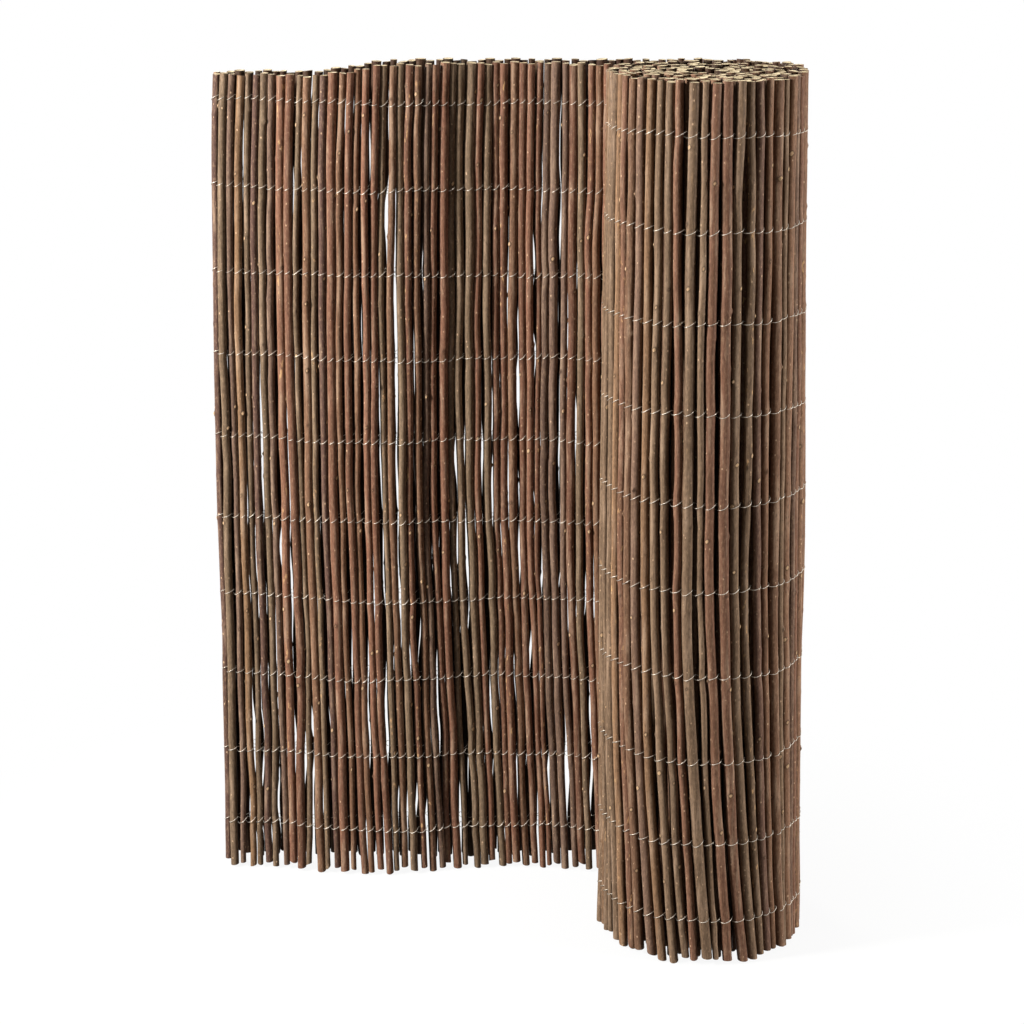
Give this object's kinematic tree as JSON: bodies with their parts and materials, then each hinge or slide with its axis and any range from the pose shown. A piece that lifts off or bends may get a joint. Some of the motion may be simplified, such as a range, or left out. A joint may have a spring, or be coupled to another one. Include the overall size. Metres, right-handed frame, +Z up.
{
  "type": "willow screening mat",
  "caption": "Screening mat of upright bark-on willow rods tied by rows of twined wire, standing partly unrolled in a doubled panel beside its upright roll.",
  "frame": {"origin": "on the ground under the middle of the standing mat's box", "axes": "+Z up along the rods, +X to the right as seen from the front with the roll on the right, +Y to the back"},
  "size_m": [0.6944, 0.3202, 1],
  "materials": {
    "willow_bark": "dried brown willow bark with a soft sheen, pale wood at the cut ends",
    "galvanised_wire": "dull zinc"
  },
  "bodies": {
    "root": {"rods_front_panel": "willow_bark", "rods_left_bend": "willow_bark", "rods_back_panel": "willow_bark", "rods_right_sweep": "willow_bark", "rods_roll": "willow_bark", "binding_wire_01": "galvanised_wire", "binding_wire_02": "galvanised_wire", "binding_wire_03": "galvanised_wire", "binding_wire_04": "galvanised_wire", "binding_wire_05": "galvanised_wire", "binding_wire_06": "galvanised_wire", "binding_wire_07": "galvanised_wire", "binding_wire_08": "galvanised_wire", "binding_wire_09": "galvanised_wire", "binding_wire_10": "galvanised_wire"}
  },
  "joints": []
}
